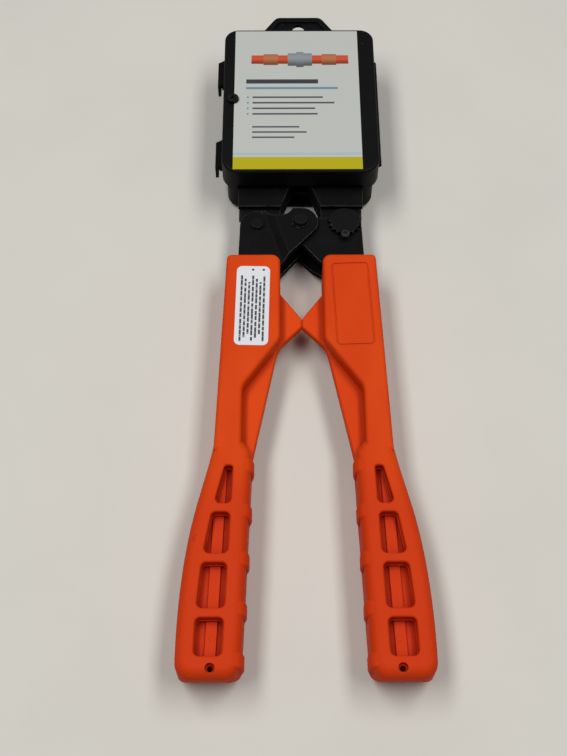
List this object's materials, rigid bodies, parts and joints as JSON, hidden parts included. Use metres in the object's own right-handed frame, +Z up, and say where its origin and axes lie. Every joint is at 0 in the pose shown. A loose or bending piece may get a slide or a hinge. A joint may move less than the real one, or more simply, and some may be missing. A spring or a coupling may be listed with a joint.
{
  "type": "pex crimp tool",
  "caption": "Manual tubing crimp tool with orange compound-lever handles and a steel head whose jaws are shut in a hinged black storage case with a hang tab.",
  "frame": {"origin": "on the rest plane under the tool, below the middle of the two jaw pivots", "axes": "+X across the tool towards the handle with the cam, +Y from the grips to the jaws, +Z up out of the faces of the handles"},
  "size_m": [0.1256, 0.4345, 0.0411],
  "materials": {
    "orange_composite": "moulded glass-filled nylon, satin, bright orange",
    "black_steel": "black oxide on pressed and forged steel, satin",
    "dark_steel": "black oxide on turned pins and screws, rubbed on their edges",
    "case_plastic": "black moulded polypropylene, satin",
    "white_card": "coated white card",
    "paper": "folded white paper",
    "bright_steel": "brushed stainless plate",
    "white_sticker": "white vinyl sticker"
  },
  "bodies": {
    "frame": {"case_tray": "case_plastic", "case_hinge_pin": "dark_steel", "strap_top": "black_steel", "strap_bottom": "black_steel", "jaw_pivot_pins": "dark_steel", "crimp_gauge": "bright_steel"},
    "cover": {"case_cover": "case_plastic", "label_card": "white_card", "instruction_leaflet": "paper"},
    "screw": {"case_screw": "dark_steel"},
    "left_jaw": {"left_jaw": "black_steel", "left_link_pin": "dark_steel"},
    "right_jaw": {"right_jaw": "black_steel"},
    "left_handle": {"left_handle": "orange_composite", "left_top_plate": "black_steel", "left_bottom_plate": "black_steel", "centre_pin": "dark_steel", "centre_ring": "dark_steel", "left_sticker": "white_sticker"},
    "right_handle": {"right_handle": "orange_composite", "right_top_plate": "black_steel", "right_bottom_plate": "black_steel", "cam_adjuster": "dark_steel", "cam_lock_screw": "dark_steel", "cam_ring": "dark_steel"}
  },
  "joints": [
    {"name": "left_jaw_hinge", "type": "hinge", "parent": "frame", "child": "left_jaw", "pos_m": [-0.019, 0, 0.0145], "axis": [0, 0, 1], "range_deg": [0, 9.5]},
    {"name": "right_jaw_hinge", "type": "hinge", "parent": "frame", "child": "right_jaw", "pos_m": [0.019, 0, 0.0145], "axis": [0, 0, -1], "range_deg": [0, 9.5]},
    {"name": "left_handle_hinge", "type": "hinge", "parent": "left_jaw", "child": "left_handle", "pos_m": [-0.0256, -0.0493, 0.0145], "axis": [0, 0, -1], "range_deg": [0, 56.76]},
    {"name": "right_handle_hinge", "type": "hinge", "parent": "right_jaw", "child": "right_handle", "pos_m": [0.0256, -0.0493, 0.0145], "axis": [0, 0, 1], "range_deg": [0, 56.77]},
    {"name": "cover_hinge", "type": "hinge", "parent": "frame", "child": "cover", "pos_m": [0.0473, 0.036, 0.02215], "axis": [0, 1, 0], "range_deg": [0, 170]},
    {"name": "case_screw_slide", "type": "slide", "parent": "cover", "child": "screw", "axis": [0, 0, 1], "range_m": [0, 0.006]}
  ],
  "couplings": [
    {"joint": "right_handle_hinge", "follows": "left_handle_hinge", "ratio": 1},
    {"joint": "left_jaw_hinge", "follows": "left_handle_hinge", "ratio": 0.16736},
    {"joint": "right_jaw_hinge", "follows": "left_handle_hinge", "ratio": 0.16736}
  ]
}
